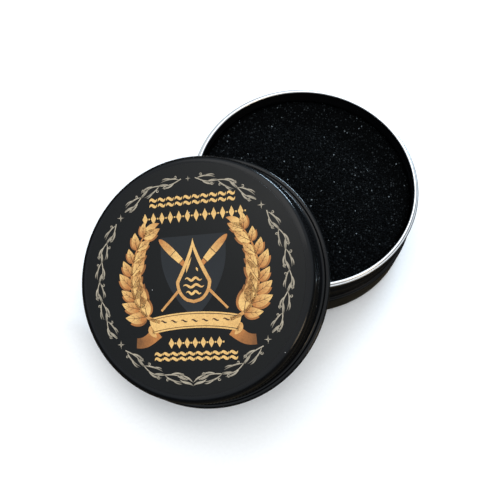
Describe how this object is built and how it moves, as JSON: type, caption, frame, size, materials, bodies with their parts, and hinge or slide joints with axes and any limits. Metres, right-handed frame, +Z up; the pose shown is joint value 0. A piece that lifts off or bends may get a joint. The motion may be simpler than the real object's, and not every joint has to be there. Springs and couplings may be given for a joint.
{
  "type": "wet palette",
  "caption": "Round screw-top aluminium tin, open, with a water-soaked foam pad to keep hobby paint wet, and its lid leaning on the rim.",
  "frame": {"origin": "centre of the tin's flat bottom, on the surface it stands on", "axes": "+Z up along the tin's axis; the lid leans on the rim towards -X and -Y"},
  "size_m": [0.108, 0.1156, 0.0421],
  "materials": {
    "tin_coat": "gloss black stoving coat on aluminium, curled rim left bare",
    "pad_foam": "coarse open-cell polyurethane foam",
    "lid_coat": "gloss black stoving coat on aluminium",
    "liner_foam": "fine closed-cell gasket foam",
    "label_print": "satin film label printed in gold and silver-beige"
  },
  "bodies": {
    "tin": {"tin_body": "tin_coat"},
    "pad": {"sponge_pad": "pad_foam"},
    "lid": {"lid_shell": "lid_coat", "lid_liner": "liner_foam", "lid_label": "label_print"}
  },
  "joints": [
    {"name": "lid_lift", "type": "slide", "parent": "tin", "child": "lid", "axis": [-0.2334, -0.2944, 0.9268], "range_m": [0, 0.08]},
    {"name": "pad_lift", "type": "slide", "parent": "tin", "child": "pad", "axis": [0, 0, 1], "range_m": [0, 0.0264]}
  ],
  "couplings": [
    {"joint": "pad_lift", "follows": "lid_lift", "ratio": 0.33}
  ]
}
